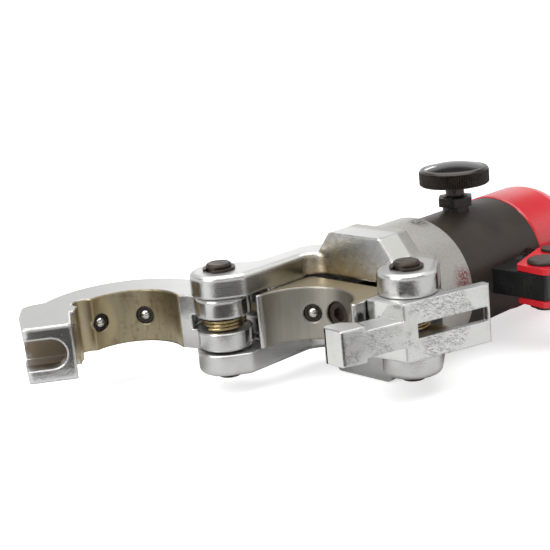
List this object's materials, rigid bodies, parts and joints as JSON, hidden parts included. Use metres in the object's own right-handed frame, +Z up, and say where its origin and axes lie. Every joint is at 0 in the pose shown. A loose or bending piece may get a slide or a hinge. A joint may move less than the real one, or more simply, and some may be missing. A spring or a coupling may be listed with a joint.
{
  "type": "hydraulic pipe press tool",
  "caption": "Hand-pumped hydraulic pipe press with a swinging hinged jaw, latch, sliding ram, swivelling head, release valve and two handles.",
  "frame": {"origin": "centre of the ram's half-round die seat, at mid height", "axes": "+X along the barrel towards the jaw, +Y towards the latch and the moving handle, +Z up along the hinge pins towards the release knob"},
  "size_m": [0.5328, 0.2275, 0.0882],
  "materials": {
    "nickel_yoke": "satin nickel plating",
    "nickel_jaw": "satin nickel plating, machined seat",
    "nickel_latch": "nickel plating, scratched",
    "nickel_ram": "machined nickel plating",
    "dark_pins": "dark oiled steel",
    "black_steel": "blackened steel",
    "black_lug": "blackened steel",
    "red_paint": "gloss enamel",
    "handle_paint": "gloss enamel",
    "grip_rubber": "matte moulded",
    "spring_brass": "drawn wire",
    "spring_steel": "drawn wire",
    "bright_steel": "ground",
    "piston_steel": "ground",
    "seal_rubber": "smooth",
    "bladder_rubber": "smooth",
    "knob_black": "blackened, knurled",
    "cap_black": "polished"
  },
  "bodies": {
    "pump_body": {"cylinder": "black_steel", "handle_lug": "black_lug", "pump_housing": "red_paint", "reservoir_tube": "handle_paint", "fixed_grip": "grip_rubber", "filler_plug": "dark_pins", "oil_bladder": "bladder_rubber", "valve_bushing": "bright_steel", "lock_nut": "black_steel", "rod_seal": "seal_rubber", "plunger_gland": "bright_steel", "plunger_seal": "seal_rubber", "delivery_ball": "bright_steel", "suction_ball": "bright_steel"},
    "head": {"yoke": "nickel_yoke", "hinge_pin": "dark_pins", "latch_pin": "dark_pins", "pin_circlips": "dark_pins", "swivel_ring": "spring_steel", "jaw_spring": "spring_brass", "latch_spring": "spring_brass", "return_spring": "spring_steel"},
    "hinged_jaw": {"jaw": "nickel_jaw", "jaw_detent_sleeves": "dark_pins", "jaw_inner_detent_spring": "spring_steel", "jaw_outer_detent_spring": "spring_steel"},
    "jaw_inner_detent": {"jaw_inner_ball": "bright_steel"},
    "jaw_outer_detent": {"jaw_outer_ball": "bright_steel"},
    "latch": {"latch_lever": "nickel_latch"},
    "ram": {"ram_head": "nickel_ram", "ram_screw": "dark_pins", "piston_rod": "piston_steel", "piston_seal": "seal_rubber", "ram_detent_sleeves": "dark_pins", "ram_left_detent_spring": "spring_steel", "ram_right_detent_spring": "spring_steel"},
    "ram_left_detent": {"ram_left_ball": "bright_steel"},
    "ram_right_detent": {"ram_right_ball": "bright_steel"},
    "moving_handle": {"handle_fork": "red_paint", "handle_tube": "handle_paint", "moving_grip": "grip_rubber", "fulcrum_pin": "black_steel", "plunger_pin": "black_steel", "handle_pin_clips": "dark_pins"},
    "pump_plunger": {"plunger": "bright_steel"},
    "needle": {"release_needle": "bright_steel"},
    "knob": {"release_knob": "knob_black", "knob_cap": "cap_black"}
  },
  "joints": [
    {"name": "head_swivel", "type": "hinge", "parent": "pump_body", "child": "head", "pos_m": [-0.07, 0, 0], "axis": [1, 0, 0], "continuous": true},
    {"name": "jaw_hinge", "type": "hinge", "parent": "head", "child": "hinged_jaw", "pos_m": [0.0068, -0.044, 0], "axis": [0, 0, 1], "range_deg": [0, 127.1], "stiffness_Nm_per_rad": 0.12, "springref_deg": -34.38},
    {"name": "latch_hinge", "type": "hinge", "parent": "head", "child": "latch", "pos_m": [-0.0347, 0.0335, 0], "axis": [0, 0, 1], "range_deg": [0, 39]},
    {"name": "ram_slide", "type": "slide", "parent": "head", "child": "ram", "axis": [1, 0, 0], "range_m": [-0.0152, 0.0068], "deforming": ["return_spring"]},
    {"name": "handle_hinge", "type": "hinge", "parent": "pump_body", "child": "moving_handle", "pos_m": [-0.112, 0.0526, 0], "axis": [0, 0, 1], "range_deg": [-35, 8]},
    {"name": "plunger_slide", "type": "slide", "parent": "pump_body", "child": "pump_plunger", "axis": [0, 1, 0], "range_m": [-0.0031, 0.0131]},
    {"name": "knob_turn", "type": "hinge", "parent": "needle", "child": "knob", "pos_m": [-0.1145, 0, 0.04], "axis": [0, 0, 1], "range_deg": [0, 360]},
    {"name": "needle_lift", "type": "slide", "parent": "pump_body", "child": "needle", "axis": [0, 0, 1], "range_m": [0, 0.0016]},
    {"name": "jaw_inner_detent_slide", "type": "slide", "parent": "hinged_jaw", "child": "jaw_inner_detent", "axis": [-0.8202, -0.5721, 0], "range_m": [0, 0.0011], "stiffness_N_per_m": 800, "springref_m": -0.001, "deforming": ["jaw_inner_detent_spring"]},
    {"name": "jaw_outer_detent_slide", "type": "slide", "parent": "hinged_jaw", "child": "jaw_outer_detent", "axis": [-0.0366, -0.9993, 0], "range_m": [0, 0.0011], "stiffness_N_per_m": 800, "springref_m": -0.001, "deforming": ["jaw_outer_detent_spring"]},
    {"name": "ram_left_detent_slide", "type": "slide", "parent": "ram", "child": "ram_left_detent", "axis": [-0.848, -0.5299, 0], "range_m": [0, 0.0011], "stiffness_N_per_m": 800, "springref_m": -0.001, "deforming": ["ram_left_detent_spring"]},
    {"name": "ram_right_detent_slide", "type": "slide", "parent": "ram", "child": "ram_right_detent", "axis": [-0.848, 0.5299, 0], "range_m": [0, 0.0011], "stiffness_N_per_m": 800, "springref_m": -0.001, "deforming": ["ram_right_detent_spring"]}
  ],
  "couplings": [
    {"joint": "latch_hinge", "follows": "jaw_hinge", "ratio": 0.30681},
    {"joint": "plunger_slide", "follows": "handle_hinge", "m_per_rad": -0.0212},
    {"joint": "needle_lift", "follows": "knob_turn", "m_per_rad": 0.000239}
  ]
}
